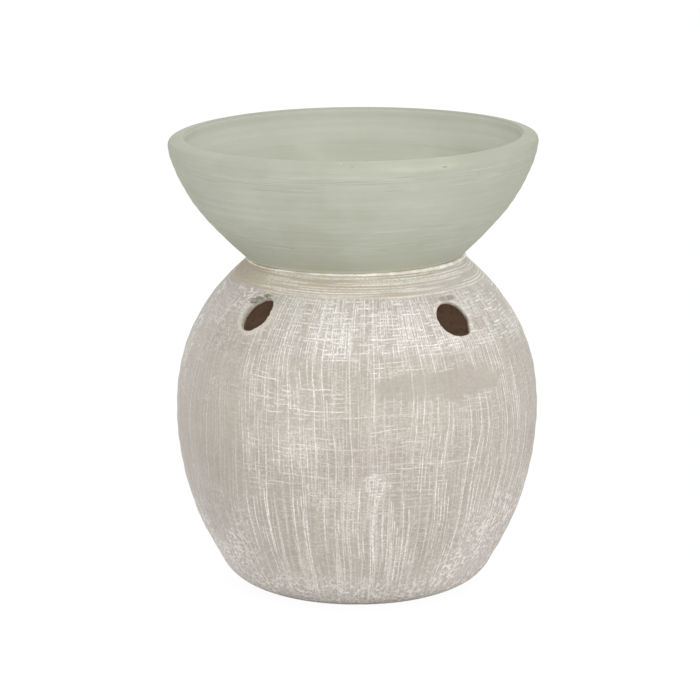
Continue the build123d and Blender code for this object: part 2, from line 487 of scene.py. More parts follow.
# %% The doorway's arch
door_half, door_rise, door_round, door_depth = 25 * mm, 45 * mm, 4 * mm, 60 * mm
knife_waver = 0.012
arch = arc((0, door_rise - door_half), door_half, np.linspace(0, math.pi, 49))
for side, turn in ((-1, 180), (1, 270)):
    middle = (side * (door_half - door_round), door_round)
    arch += arc(middle, door_round, np.radians(np.linspace(turn, turn + 90, 9)))
arch = [(a * (1 + knife_waver * math.sin(190 * b)), b) for a, b in arch]
sill = Vector((0, 0, floor_top))
add_prism(arch, sill, Vector((1, 0, 0)), Vector((0, 0, 1)), Vector((0, 1, 0)), 0, door_depth)
cutter = new_piece("cutters", cut_spots, cut_faces)
facing_out = bmesh.new()
facing_out.from_mesh(cutter.data)
bmesh.ops.recalc_face_normals(facing_out, faces=facing_out.faces)
facing_out.to_mesh(cutter.data)
facing_out.free()
print("doorway", round(2 * door_half / mm), "mm wide")

# %% [markdown]
# ## Throwing the pot
#
# The turned skin is cut, and then remeshed into even little quads. That does what a wet sponge does: it
# rounds every cut edge by about half a millimetre. The remesh also leaves a faint unevenness on the walls, so
# each vertex close to one of the two true curves is put back on it. Last come the potter's marks:
# throwing rings too shallow to see but not too shallow to catch the light, and a slow wobble.

# %% Turn, cut and remesh
outline = from_mm([(0, 0.5), (15, 0.45), (24, 0.25), (29.1, 0), (29.7, 0.1)])
outline += [*outer_wall[1:], (28 * mm, neck_top), (bore, neck_top), *inner_wall]
outline += from_mm([(18, 0), (9, 0), (0, 0)], floor_top)
pot = skin("pot_shell", outline, 224)
cut = pot.modifiers.new("cut", "BOOLEAN")
cut.operation, cut.solver, cut.object = "DIFFERENCE", "EXACT", cutter
apply_modifiers(pot)
bpy.data.objects.remove(cutter)
quad_size = 0.84 * mm
even_quads = pot.modifiers.new("even_quads", "REMESH")
even_quads.mode, even_quads.voxel_size = "VOXEL", quad_size
apply_modifiers(pot)
print("pot", len(pot.data.polygons), "faces")

# %% Back onto the true curves
def depth_behind(curve, spots):
    """How far each vertex lies behind a curve, and the curve's direction outwards there."""
    order = np.argsort(curve[:, 1])
    z, r = curve[order, 1], curve[order, 0]
    radius = np.hypot(spots[:, 0], spots[:, 1])
    lean = np.interp(spots[:, 2], z, np.gradient(r, z))
    length = np.hypot(1, lean)
    depth = (np.interp(spots[:, 2], z, r) - radius) / length
    unit = spots[:, :2] / np.maximum(radius, 1e-9)[:, None]
    out = np.column_stack([unit / length[:, None], -lean / length])
    return depth, out


def close_by(depth):
    """1 within 0.22 mm of a curve, and falling to 0 at 0.42 mm."""
    return np.clip((0.42 * mm - np.abs(depth)) / (0.2 * mm), 0, 1)


fine = 1400
fine_outer = smooth(outer_points, *outer_ways, fine)
fine_inner = smooth(inner_points, *inner_ways, fine)[: fine - 100]
spots = spots_of(pot)
depth, out = depth_behind(fine_outer, spots)
near = close_by(depth)
spots += out * (depth * near)[:, None]
inside_depth, inside_out = depth_behind(fine_inner, spots)
inside_near = close_by(inside_depth)
inside_from, inside_to, inside_depth_least = 12 * mm, 94 * mm, 2.5 * mm
inside_near *= (spots[:, 2] > inside_from) * (spots[:, 2] < inside_to) * (depth > inside_depth_least)
spots += inside_out * (inside_depth * inside_near)[:, None]
print("vertices on the outer curve:", int((near > 0.5).sum()))
print("vertices on the inner curve:", int((inside_near > 0.5).sum()))

# %% [markdown]
# Where a vent is punched, the potter first thins the wall from inside with a finger, and the punch drags some
# clay with it. So the wall behind each vent is drawn outwards, most at the vent and hardly at all 20 mm off.

# %% Thin the wall behind the vents
def round_vent(spots, place, depth, fade):
    """1 in a vent's hole, and falling off round it. It counts only within a depth of the wall there."""
    origin, across, up, out = (np.array(part) for part in place)
    away = spots - origin
    flat = np.hypot(away @ across, away @ up)
    return np.exp(-((np.maximum(flat - vent_radius, 0) / fade) ** 2)) * (np.abs(away @ out) < depth)


depth, out = depth_behind(fine_outer, spots)
for thinned, place in vents:
    drawn = thinned * round_vent(spots, place, 9 * mm, 6 * mm) * (depth > 0)
    spots += out * (depth * drawn)[:, None]
thinnest = wall * (1 - max(thinned for thinned, place in vents))
print("thinned to", round(thinnest / mm, 1), "mm at the thinnest")

# %% [markdown]
# The potter's hands leave rings less than a tenth of a millimetre deep, and the pot wobbles by a little more.
# The wall is held back by a third of a millimetre, so that all of it stays inside the CAD box. Sizes in this
# step are in millimetres, and fade out towards the foot and the top of the neck.

# %% The potter's marks
radius, angle = polar(spots)
z = spots[:, 2] / mm
rings = 0.05 * np.sin(1.15 * z + 1.5 * np.sin(angle)) + 0.035 * np.sin(0.47 * z + 2.0 * np.sin(angle + 1))
wobble = 0.10 * np.sin(2 * angle + 0.05 * z - 1.2) + 0.06 * np.sin(3 * angle - 0.08 * z + 1)
fade = np.clip(z / 8, 0, 1) * np.clip((neck_top / mm - z) / 6, 0, 1)
held_back = 0.32
spots[:, :2] *= (1 + (rings + wobble - held_back) * fade / np.maximum(radius / mm, 20))[:, None]
lumps = lumpy(spots, 260) * 0.06 * mm
spots += out * (lumps * fade)[:, None]
spots[:, 2] = np.clip(spots[:, 2], 0, neck_top)
move_spots(pot, spots)
print("pot's box:", [round(v / mm, 2) for v in (*spots.min(0), *spots.max(0))])

# %% [markdown]
# The vents were punched and left crisp, but the doorway was cut with a knife and wiped with a damp sponge, so
# its edge is rounder. Vertices within about 2.5 mm of the arch are smoothed, the nearest the most.

# %% A damp sponge round the doorway
def distance_to(outline, flat):
    """How far points of a plane lie from a closed outline in it."""
    start = np.array(outline)
    run = np.roll(start, -1, axis=0) - start
    away = flat[:, None, :] - start
    share = np.clip((away * run).sum(2) / (run * run).sum(1), 0, 1)
    return np.linalg.norm(away - share[..., None] * run, axis=2).min(1)


sponge_reach = 1.8 * mm
sponged = np.zeros(len(spots))
at_door = np.flatnonzero((spots[:, 1] > 0) & (spots[:, 2] < floor_top + door_rise + 3 * mm))
off_arch = distance_to([(a, floor_top + b) for a, b in arch], spots[at_door][:, [0, 2]])
sponged[at_door] = np.clip(1.4 - off_arch / sponge_reach, 0, 1)
edges = pot.vertex_groups.new(name="cut_edges")
for level in np.linspace(0.1, 1, 10):
    edges.add(np.flatnonzero(np.round(sponged, 1) == round(level, 1)).tolist(), float(level), "REPLACE")
sponge = pot.modifiers.new("sponge", "SMOOTH")
sponge.factor, sponge.iterations, sponge.vertex_group = 0.5, 6, "cut_edges"
apply_modifiers(pot)
spots = spots_of(pot)
spots[:, 2] = np.clip(spots[:, 2], 0, neck_top)
move_spots(pot, spots)
print(int((sponged > 0).sum()), "vertices sponged of", len(spots), "in", len(pot.data.polygons), "faces")

# %% [markdown]
# The wash reaches only where the brush did: the outside and a little way into each cut. Two attributes on the
# mesh carry that to the material. "washed" is 1 outside and falls to 0 inside the wall and under the foot,
# and "vent_edge" is 1 on the rim of a vent and falls off over a few millimetres.

# %% Where the brush reached
depth, _ = depth_behind(fine_outer, spots)
brush_depth, foot_bare = 1.6 * mm, 0.6 * mm
washed = 1 - np.clip((depth - brush_depth) / brush_depth, 0, 1)
washed[spots[:, 2] < foot_bare] = 0
vent_edge = np.zeros(len(spots))
for _, place in vents:
    vent_edge = np.maximum(vent_edge, round_vent(spots, place, 8 * mm, 1.5 * mm))
write_layer(pot, "washed", washed)
write_layer(pot, "vent_edge", vent_edge)
print("washed share of the pot:", round(float(washed.mean()), 2))

# %% [markdown]
# ## The dish
#
# The dish flares from a foot as wide as the neck to a rim 110 mm across. Its lip slopes down outwards from a
# crisp inner edge and rolls over into the side. It stays a turned skin, because nothing is cut into it: its
# rings run where the brush ran. It is modelled upright on its own axis and then set on the neck as the hand
# left it, 0.75 mm to the left and leaning by 0.7 degrees.

# %% The dish's outline
dish_rim, dish_up, widest = 55 * mm, 36.3 * mm, 34.2 * mm
lip, roll = 50.1 * mm, 1 * mm
dish_shares = [(0.21, 0.129), (0.435, 0.282), (0.64, 0.444), (0.8, 0.614), (0.912, 0.77)]
side_points = [(neck, 0), *[(neck + o * (dish_rim - neck), u * widest) for o, u in dish_shares]]
dish_side = smooth([*side_points, (dish_rim, widest)], way(42), way(90), 110)
over_lip = smooth([(dish_rim, widest), (lip + roll, dish_up)], way(90), way(166), 14)
into_bowl = smooth([(lip + roll, dish_up), (lip, dish_up - roll)], way(166), way(-90), 7)
bowl_points = [(lip, dish_up - roll), *[behind(dish_side, share, 5 * mm) for share in (0.78, 0.55, 0.30)]]
bowl_side = smooth([*bowl_points, (20 * mm, 6.5 * mm)], way(-90), way(180), 80)
underside = from_mm([(0, 1.5), (11, 1.5), (21.6, 1.5), (22, 1.2), (22.2, 0), (27, 0), (31.6, 0)])
bowl_floor = from_mm([(15, 6.45), (10, 6.4), (5, 6.4), (0, 6.4)])
outside = [*underside, *dish_side[1:], *over_lip[1:]]
dish_steps = 400
dish = skin("painted_dish", [*outside, *into_bowl[1:], *bowl_side[1:], *bowl_floor], dish_steps)
rings_on_edge = 4
first_inside = len(outside) - 1 + rings_on_edge
in_bowl = np.zeros(len(dish.data.vertices))
in_bowl[first_inside * dish_steps : -2] = 1
in_bowl[-1] = 1
write_layer(dish, "in_bowl", in_bowl)
print("dish", len(dish.data.polygons), "faces, of which", int(in_bowl.sum()), "corners in the bowl")

# %% [markdown]
# The dish wobbles as the pot does, by about a tenth of a millimetre, and its lip rises and falls a little.
# Only the foot stays true, where it sits on the neck.

# %% Loosen the dish
spots = spots_of(dish)
radius, angle = polar(spots)
z = spots[:, 2] / mm
rings = 0.04 * np.sin(2.3 * z + np.sin(angle)) + 0.03 * np.sin(0.9 * z + 2 * np.sin(angle + 2))
wobble = 0.10 * np.sin(2 * angle + 0.6) + 0.06 * np.sin(5 * angle)
held_back = 0.25
high = np.clip(z / 10, 0, 1)
spots[:, :2] *= (1 + high * (rings + wobble - held_back) / np.maximum(radius / mm, 10))[:, None]
spots[:, 2] += np.clip((z - 30) / 6, 0, 1) * (0.09 * np.sin(3 * angle + 1) - 0.14) * mm
lumps = lumpy(spots, 300) * 0.05 * mm
spots[:, :2] += spots[:, :2] / np.maximum(radius, 1e-6)[:, None] * (lumps * high)[:, None]
move_spots(dish, spots)
off_centre, slip_thickness, lean_degrees = 0.75 * mm, 0.7 * mm, 0.7
seat = Matrix.Translation((-off_centre, 0, neck_top + slip_thickness))
dish.matrix_world = seat @ Matrix.Rotation(math.radians(-lean_degrees), 4, "Y")
print("rim height", round(spots[:, 2].max() / mm, 2), "mm over the seam")

# %% [markdown]
# ## The slip at the seam
#
# Slip squeezed out when the dish was pressed onto the neck, and was wiped, so what is left is a thin broken
# white line. It is a ring whose bead swells and thins along the seam, and sinks behind it in places. At the
# left a thicker lump was left.

# %% The broken bead
slip_low, slip_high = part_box("luting_slip")
steps, around = 420, 14
bead_spots = []
lean = math.tan(math.radians(lean_degrees))
for i in range(steps):
    a = i * math.tau / steps
    here = Vector((math.cos(a), math.sin(a), 0))
    gap = slip_thickness + neck * lean * here.x
    lump = noise.noise(here * 9) + 0.6 * noise.noise(here * 31)
    squeezed = math.exp(-(((a - 3.5) / 0.45) ** 4))
    bulge = (min(max(0.2 + 0.5 * lump, 0.02), 0.5) * (1 - squeezed) + (1.1 + 0.2 * lump) * squeezed) * mm
    swell = gap / 2 + (0.1 + 0.2 * squeezed) * mm
    seam = neck_top + gap / 2 - 0.25 * mm * squeezed
    ring = from_mm([(24.4, 0.02), (27, 0.02)], neck_top)
    for t in np.linspace(-1.5, 1.5, around - 4):
        ring.append((neck - 0.3 * mm + (0.3 * mm + bulge) * math.cos(t), seam + swell * math.sin(t)))
    ring += [(bore + 3 * mm, neck_top + gap * 0.8), (bore + 0.4 * mm, neck_top + gap * 0.8)]
    bead_spots += [here * r + Vector((0, 0, h)) for r, h in ring]
i, j = np.meshgrid(np.arange(steps), np.arange(around), indexing="ij")
next_i, next_j = (i + 1) % steps * around, (j + 1) % around
bead_faces = np.stack([i * around + j, next_i + j, next_i + next_j, i * around + next_j], axis=-1)
slip = new_piece("slip_bead", bead_spots, bead_faces.reshape(-1, 4).tolist())
slip.data.shade_smooth()
print("bead from", round(slip_low.z / mm, 2), "to", round(slip_high.z / mm, 2), "mm")

# %% [markdown]
# ## The tea light
#
# A tea light is a cup pressed from thin aluminium, filled with wax to just below its curled rim. The wax
# climbs a little where it meets the cup and sinks towards the wick, as it shrinks when it sets. All of it is
# turned like the clay, only finer.

# %% The cup
cup_low, cup_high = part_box("tealight_cup")
cup_bottom, cup_top = cup_low.z, cup_high.z
tall = cup_top - cup_bottom
mouth, base, curl, metal = 19 * mm, 18.3 * mm, 0.5 * mm, 0.25 * mm
outline = from_mm([(0, 0.5), (6, 0.5), (7, 0.2), (15, 0.2)], cup_bottom)
outline += from_mm([(15.6, 0), (17, 0), (17.9, 0.3), (18.3, 1.2)], cup_bottom)
for t in np.linspace(0.08, 1, 22):
    outline.append((base + (mouth - base) * t - 0.02 * mm, cup_bottom + 1.2 * mm + (tall - 2.2 * mm) * t))
outline += arc((mouth, cup_top - curl), curl, np.linspace(-2.2, 2.9, 14))
for t in np.linspace(0, 1, 12):
    outline.append((mouth - metal - (mouth - base) * t, cup_top - 0.9 * mm - (tall - 2.4 * mm) * t))
outline += from_mm([(17.4, 0.55), (14, 0.5), (5, 0.7), (0, 0.7)], cup_bottom)
cup = skin("aluminium_cup", outline, 240)
spots = spots_of(cup)
_, angle = polar(spots)
rise = np.clip((spots[:, 2] - cup_bottom) / tall, 0, 1)
pleats = 0.03 * np.sin(48 * angle + 1.5 * np.sin(5 * angle)) * np.sin(math.pi * rise) ** 0.5
pleats += 0.06 * np.sin(3 * angle + 1) * rise
held_back, mean_radius = 0.07, 18
spots[:, :2] *= (1 + (pleats - held_back) / mean_radius)[:, None]
move_spots(cup, spots)
print("cup", round(tall / mm, 1), "mm tall")

# %% The wax
wax_low, wax_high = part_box("tealight_wax")
wax_top, wax_edge = wax_high.z, wax_high.x
top_points = [(wax_edge - 0.12 * mm, wax_top + 0.25 * mm), (wax_edge - 0.9 * mm, wax_top - 0.1 * mm)]
top_points += from_mm([(10, -0.25), (1.6, -0.75), (0, -0.6)], wax_top)
outline = from_mm([(0, 0.4), (14, 0.4), (16.6, 0.6), (17.6, 1.6)], wax_low.z)
outline += [*smooth(top_points, way(-110), way(170), 60)]
wax = skin("poured_wax", outline, 160)
spots = spots_of(wax)
radius, _ = polar(spots)
dips = (lumpy(spots, 220) + 0.4 * lumpy(spots, 700)) * 0.09 * mm
spots[:, 2] += dips * (spots[:, 2] > wax_top - 1.2 * mm) * (radius < wax_edge - 0.5 * mm)
move_spots(wax, spots)
print("wax up to", round(wax_top / mm, 1), "mm")

# %% [markdown]
# The wick is three cotton strands plaited over each other and stiffened with wax. Each strand is a small tube
# that swings from side to side and over its neighbours, and the three make one mesh. They fray and taper a
# little at the top. The foot of the wick is hidden in the wax and its sustainer, so it starts 3 mm up.

# %% The plaited wick
wick_low, wick_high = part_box("wick")
wick_spots, wick_faces = [], []
points, tip_points, sides, strand = 90, 4, 8, 0.36 * mm
plait_pitch = 2.6 * mm
swing, lift = 0.45 * mm, 0.27 * mm
heights = np.linspace(wick_low.z + 3.2 * mm, wick_high.z - 0.1 * mm, points)
for number in range(3):
    line = []
    for i, h in enumerate(heights):
        t = (h - wick_low.z) / plait_pitch * math.tau / 2 + number * math.tau / 3
        fray = 1 + 2.5 * max(0, i / points - 0.9)
        line.append(Vector((swing * math.sin(t) * fray, lift * math.sin(2 * t) * fray, h)))
    for i, centre in enumerate(line):
        ahead = (line[min(i + 1, points - 1)] - line[max(i - 1, 0)]).normalized()
        side = ahead.cross(Vector((0, 1, 0))).normalized()
        other = ahead.cross(side)
        tip = (i - points + tip_points) / tip_points
        thin = strand * (1 if tip < 0 else 0.85 - 0.2 * tip)
        for a in (n * math.tau / sides for n in range(sides)):
            wick_spots.append(centre + (side * math.cos(a) + other * math.sin(a)) * thin)
    first = number * points * sides
    for i in range(points - 1):
        for n in range(sides):
            a, b = first + i * sides + n, first + i * sides + (n + 1) % sides
            wick_faces.append((a, b, b + sides, a + sides))
    wick_faces.append([first + n for n in range(sides)][::-1])
    wick_faces.append([first + (points - 1) * sides + n for n in range(sides)])
wick = new_piece("plaited_wick", wick_spots, wick_faces)
wick.data.shade_smooth()
print("wick", len(wick.data.polygons), "faces, up to", round(wick_high.z / mm, 1), "mm")

# %% [markdown]
# ## Shared effects
#
# Several finishes here share the same causes, so each cause is one node group. A brush leaves lines that run
# round the pot or up it. Clay has a fine grain and slow changes of tone. A mark that belongs to one place
# ends in a ragged edge. Each group takes its numbers as named inputs and puts out masks or heights.

# %% Make a node group
def new_group(name, inputs, outputs=("Mask",)):
    """A shader node group, its inputs and its outputs. Three numbers to start with make an input a vector."""
    group = bpy.data.node_groups.new(name, "ShaderNodeTree")
    for title, value in inputs.items():
        kind = "NodeSocketVector" if isinstance(value, tuple) else "NodeSocketFloat"
        group.interface.new_socket(title, in_out="INPUT", socket_type=kind).default_value = value
    for title in outputs:
        group.interface.new_socket(title, in_out="OUTPUT", socket_type="NodeSocketFloat")
    return group, group.nodes.new("NodeGroupInput").outputs, group.nodes.new("NodeGroupOutput").inputs


def finish_group(group, result, **values):
    """Links what a group puts out."""
    for name, value in values.items():
        group.links.new(value, result[name])
    print("group", group.name, "with", len(group.nodes), "nodes")


print("group helpers ready")

# %% [markdown]
# ### Brush marks
#
# A bristle drags a thin line and skips as it runs dry. Noise gives such lines when it changes fast across the
# stroke and slowly along it. On a round pot "across" is the angle round the axis, so the group turns a
# point into its direction from the axis, scales that by Around and the height by Up, and lets it wander a
# little. What is over Level is paint.

# %% The brush group
brush, given, result = new_group(
    "brush_marks",
    {"Position": (0, 0, 0), "Around": 60.0, "Up": 40.0, "Waver": 0.5,
     "Seed": 0.0, "Level": 0.55, "Softness": 0.08},
)
ray = separate(from_axis(given["Position"]))
drift = vector("SUBTRACT", noisy(given["Position"], 55.0, 1.0, output="Color"), (0.5, 0.5, 0.5))
drift = vector("SCALE", drift, Scale=given["Waver"])
lines = step("ShaderNodeCombineXYZ", {
    0: calculate("MULTIPLY_ADD", ray["X"], given["Around"], given["Seed"]),
    1: calculate("MULTIPLY", ray["Y"], given["Around"]),
    2: calculate("MULTIPLY_ADD", separate(given["Position"])["Z"], given["Up"], given["Seed"]),
})
field = noisy(vector("ADD", lines, drift), 1.0, 1.0, 0.45)
edge = calculate("ADD", given["Level"], given["Softness"])
finish_group(brush, result, Mask=ramp(field, given["Level"], edge))


def strokes(position, around, up, seed, level, softness, waver=0.5):
    """One set of broad brush marks. Around and up say how fast they change round the piece and up it."""
    inputs = {"Position": position, "Around": around, "Up": up, "Waver": waver}
    inputs |= {"Seed": seed, "Level": level, "Softness": softness}
    return step("ShaderNodeGroup", inputs, node_tree=brush)


# %% [markdown]
# ### Bristle lines
#
# Seen close, the wash is a gauze of single bristle lines, each as thin as a hair, side by side and evenly
# spaced. Thresholded noise gives blots of every width, so here the surface is counted off in lanes instead:
# Across says which lane a point is in, and each lane carries one thin line. The lane's number picks that
# line's own noise along it, which says where the bristle touched and how far the line strays in its lane.

# %% The bristle group
bristle, given, result = new_group(
    "bristle_lines",
    {"Across": 0.0, "Along": (0, 0, 0), "Seed": 0.0, "Width": 0.15, "Level": 0.5, "Softness": 0.06},
)
lane = calculate("FLOOR", given["Across"])
own = step("ShaderNodeCombineXYZ", {
    0: calculate("MULTIPLY_ADD", lane, 7.31, given["Seed"]),
    1: calculate("MULTIPLY", lane, 3.17),
    2: calculate("MULTIPLY_ADD", lane, 5.71, given["Seed"]),
})
run = separate(noisy(vector("ADD", own, given["Along"]), 1.0, 1.0, output="Color"), "Color")
touched = ramp(run[0], given["Level"], calculate("ADD", given["Level"], given["Softness"]))
middle = shaken(0.5, run[1], 0.9)
off = calculate("SUBTRACT", calculate("SUBTRACT", given["Across"], lane), middle)
inner_edge = calculate("MULTIPLY", given["Width"], 0.4)
hair = ramp(calculate("ABSOLUTE", off), inner_edge, given["Width"], 1.0, 0.0)
load = ramp(run[2], 0.35, 0.65, 0.5, 1.0)
finish_group(bristle, result, Mask=times(hair, touched, load))


# %% Lines up and round a turned piece
def measure(position, girth):
    """Where a point of a turned piece is, round the axis and up it. Girth is the piece's radius in mm."""
    where = separate(position)
    ray = from_axis(position)
    return {
        "girth": girth,
        "height": calculate("MULTIPLY", where["Z"], 1000),
        "azimuth": calculate("ARCTAN2", where["X"], calculate("MULTIPLY", where["Y"], -1)),
        "ray": ray,
        "side": separate(ray)["X"],
        "stray": separate(noisy(position, 24.0, 1.0, output="Color"), "Color"),
    }


def hair_lines(across, along, seed, width, level, softness):
    """Lines of the bristle group. The width is a share of the lane."""
    inputs = {"Across": across, "Along": along, "Seed": seed, "Width": width, "Level": level}
    return step("ShaderNodeGroup", {**inputs, "Softness": softness}, node_tree=bristle)


def upright_lines(at, spacing, length, seed, width, level, softness=0.06, bend=9):
    """Hair lines up a piece. Spacing, length and bend are in millimetres."""
    lanes = 2 * round(math.pi * at["girth"] / spacing)
    sway = calculate("MULTIPLY", calculate("SUBTRACT", at["stray"][0], 0.5), bend / spacing)
    across = calculate("MULTIPLY_ADD", at["azimuth"], lanes / math.tau, sway)
    along = step("ShaderNodeCombineXYZ", {2: calculate("MULTIPLY", at["height"], 1 / length)})
    return hair_lines(across, along, seed, width, level, softness)


def level_lines(at, spacing, length, seed, width, level, softness=0.06, bend=4):
    """Hair lines round a piece."""
    sway = calculate("MULTIPLY", calculate("SUBTRACT", at["stray"][1], 0.5), bend / spacing)
    across = calculate("MULTIPLY_ADD", at["height"], 1 / spacing, sway)
    along = vector("SCALE", at["ray"], Scale=at["girth"] / length)
    return hair_lines(across, along, seed, width, level, softness)


print("line helpers ready")

# %% [markdown]
# ### Clay
#
# Fired clay is never one colour. Slow clouds shift its tone, and sand in the body stands up as a fine grain
# that also roughens the paint over it.

# %% The clay group
clay, given, result = new_group(
    "clay_body",
    {"Position": (0, 0, 0), "Cloud Scale": 30.0, "Grain Scale": 900.0},
    ["Clouds", "Grain", "Pits"],
)
clouds = noisy(given["Position"], given["Cloud Scale"], 3.0, 0.55)
grain = noisy(given["Position"], given["Grain Scale"], 4.0, 0.65)
cell_scale = calculate("MULTIPLY", given["Grain Scale"], 0.22)
cells = step("ShaderNodeTexVoronoi", {"Vector": given["Position"], "Scale": cell_scale}, "Distance")
rare = noisy(given["Position"], 120.0, 1.0)
pits = times(ramp(cells, 0.08, 0.2, 1.0, 0.0), ramp(rare, 0.62, 0.7))
finish_group(clay, result, Clouds=clouds, Grain=grain, Pits=pits)


def fired_clay(position, cloud_scale, grain_scale):
    """The clouds, the grain and the pits of a clay. The higher a scale, the finer they are."""
    inputs = {"Position": position, "Cloud Scale": cloud_scale, "Grain Scale": grain_scale}
    return step("ShaderNodeGroup", inputs, node_tree=clay).node.outputs


# %% [markdown]
# ### Patches
#
# Some marks belong to one place: a bare patch that the brush missed, a dab where it was put down, a smear
# of green that ran over the seam. The group makes a soft-edged, ragged ellipsoid round a point.

# %% The patch group
patch, given, result = new_group(
    "paint_patch", {"Position": (0, 0, 0), "Centre": (0, 0, 0), "Reach": (0.01, 0.01, 0.01), "Ragged": 0.4}
)
away = vector("DIVIDE", vector("SUBTRACT", given["Position"], given["Centre"]), given["Reach"])
far = vector("LENGTH", away, output="Value")
fray = calculate("SUBTRACT", noisy(given["Position"], 260.0, 3.0), 0.5)
edge = calculate("ADD", far, calculate("MULTIPLY", fray, given["Ragged"]))
finish_group(patch, result, Mask=ramp(edge, 0.7, 1.15, 1.0, 0.0))


def mark(position, centre, reach, ragged=0.5):
    """A ragged patch round a point, in millimetres."""
    inputs = {"Position": position, "Centre": [c * mm for c in centre], "Reach": [r * mm for r in reach]}
    return step("ShaderNodeGroup", {**inputs, "Ragged": ragged}, node_tree=patch)


# %% [markdown]
# ## Whitewashed terracotta
#
# The pot was painted taupe and then stroked with a nearly dry brush of white: up and down over the whole
# pot, round it in groups of short dashes, thickly in a band under the neck, and round and round on the neck
# itself. The hair lines come from the bristle group, in a few spacings laid over each other, and the broad
# soft marks from the brush group. Height, side and slow clouds say where each is strong. Towards the foot and
# the far sides the wash breaks up into specks. Bump lifts the white a hair above the ground coat. Inside, the
# clay is bare.

# %% Start and finish a material
def new_material(name):
    """An empty material, and the place of a point on the piece that wears it."""
    material = bpy.data.materials.new(name)
    material.use_nodes = True
    material.node_tree.nodes.clear()
    return material, put(material.node_tree, "ShaderNodeTexCoord").outputs["Object"]


def finish_material(color, roughness, height, distance, strength=1.0, **more):
    """A Principled shader with bump, wired to the output."""
    bump = step("ShaderNodeBump", {"Height": height, "Distance": distance, "Strength": strength})
    inputs = {"Base Color": color, "Roughness": roughness, "Normal": bump, **more}
    put(color.id_data, "ShaderNodeOutputMaterial", {"Surface": step("ShaderNodeBsdfPrincipled", inputs)})
    print("material with", len(color.id_data.nodes), "nodes")


def written(position, name):
    """The number that the mesh carries at each vertex under a name."""
    return put(position.id_data, "ShaderNodeAttribute", attribute_name=name).outputs["Fac"]


def cloud(position, scale, seed, low, high):
    """A slow mask that brings marks in groups."""
    moved = vector("ADD", position, (seed, seed * 0.7, seed * 1.3))
    return ramp(noisy(moved, scale), low, high)


dull = {"Specular IOR Level": 0.25}
print("material helpers ready")

# %% Where the wash is thick or thin
whitewashed, position = new_material("whitewashed_terracotta")
clouds, grain, _ = fired_clay(position, 34.0, 1100.0)
at = measure(position, belly / mm)
height, side = at["height"], at["side"]
wander = noisy(position, 70.0)
ragged_height = shaken(height, wander, 3.0)
on_neck = ramp(ragged_height, 93.2, 94.2)
thick_band = without(ramp(ragged_height, 76.0, 80.0), 1, on_neck)
near_foot = ramp(ragged_height, 5.0, 17.0, 1.0, 0.0)
aside = ramp(calculate("ABSOLUTE", side), 0.43, 0.84)
patchy_height = shaken(height, wander, 40.0)
low_edges = over(near_foot, times(ramp(patchy_height, 24, 50, 1.0, 0.0), aside))
print("whitewash started with", len(position.id_data.nodes), "nodes")

# %% [markdown]
# The marks that stand out in the photograph each have their place: a centre and a reach in millimetres, and
# how ragged the edge is. They are the bare patch at the right, the dab below the middle, streaks and clusters
# of short strokes round it, a green smear on the neck, a scuff, and chips along the edge over the vents.

# %% Marks that belong to one place
bare = mark(position, (26, -46, 70.2), (24, 20, 4.6), 1.3)
dab = mark(position, (5.4, -54, 42.4), (4.2, 10, 4.0), 1.6)
low_streaks = over(
    mark(position, (2, -50, 29), (9, 14, 15), 0.9),
    mark(position, (11, -45, 17), (6, 14, 9), 0.9),
)
clusters = over(
    mark(position, (-17, -51, 53), (8, 12, 6.5), 1.8),
    mark(position, (-18, -38, 14), (6.5, 14, 7), 1.8),
    mark(position, (-9, -50, 38), (7, 12, 5), 1.8),
)
shy_side = mark(position, (-45, -30, 54), (16, 24, 38), 0.6)
smooth_tan = mark(position, (-33, -13, 96.5), (10, 15, 4.5), 0.5)
green_smear = mark(position, (15, -29, 98.4), (12, 7, 1.3), 1.2)
right_foot = mark(position, (27, -23, 12), (18, 18, 12), 0.8)
scuff = mark(position, (36.2, -28.2, 85.6), (2.2, 4.0, 2.8), 1.8)
chips = over(
    mark(position, (-30.4, -26.6, 90.9), (1.8, 1.8, 0.9), 1.2),
    mark(position, (-28.9, -27.8, 91.8), (1.8, 1.8, 0.7), 1.2),
    mark(position, (-26.3, -28.8, 92.7), (1.8, 1.8, 0.7), 1.2),
    times(mark(position, (26.4, -29.5, 92.2), (3.0, 3.0, 0.8), 1.6), 0.6),
)
print("whitewash has", len(position.id_data.nodes), "nodes")

# %% [markdown]
# Each set of hair lines is given by its spacing and the length of its lines in millimetres, a seed, the width
# of a line as a share of the spacing, and the level over which the bristle touches. Each set of broad marks
# is given by how often it changes round the pot and up it, a seed, a level and a softness.

# %% The strokes of the wash
uprights = over(
    times(upright_lines(at, 1.15, 14, 3.1, 0.19, 0.48), strokes(position, 9, 15, 2.0, 0.42, 0.12)),
    times(upright_lines(at, 1.9, 24, 12.3, 0.11, 0.53), 0.9),
    upright_lines(at, 3.7, 60, 7.7, 0.055, 0.46, 0.05),
    times(upright_lines(at, 3.1, 40, 51.0, 0.11, 0.5, 0.05, 5), ramp(height, 34, 46, 0.95, 0.0)),
)
long_lines = upright_lines(at, 4.6, 80, 63.0, 0.06, 0.5, 0.05, 5)
levels = over(
    times(level_lines(at, 1.3, 8, 5.5, 0.17, 0.47), strokes(position, 2.2, 95, 4.4, 0.46, 0.1)),
    times(level_lines(at, 4.6, 30, 9.1, 0.05, 0.54, 0.04, 3), 0.7),
    times(level_lines(at, 0.85, 5, 71.0, 0.26, 0.46, 0.08, 3), cloud(position, 55, 13.1, 0.42, 0.6), 0.45),
)
levels = without(times(levels, ramp(height, 20, 66, 0.35, 1.0)), 0.45, aside)
faint = over(
    times(strokes(position, 170, 70, 6.3, 0.5, 0.14), 0.4),
    times(strokes(position, 22, 2400, 12.7, 0.5, 0.14), 0.33),
)
hatch = over(upright_lines(at, 0.82, 9, 17.1, 0.32, 0.45), level_lines(at, 0.86, 6, 25.9, 0.31, 0.45))
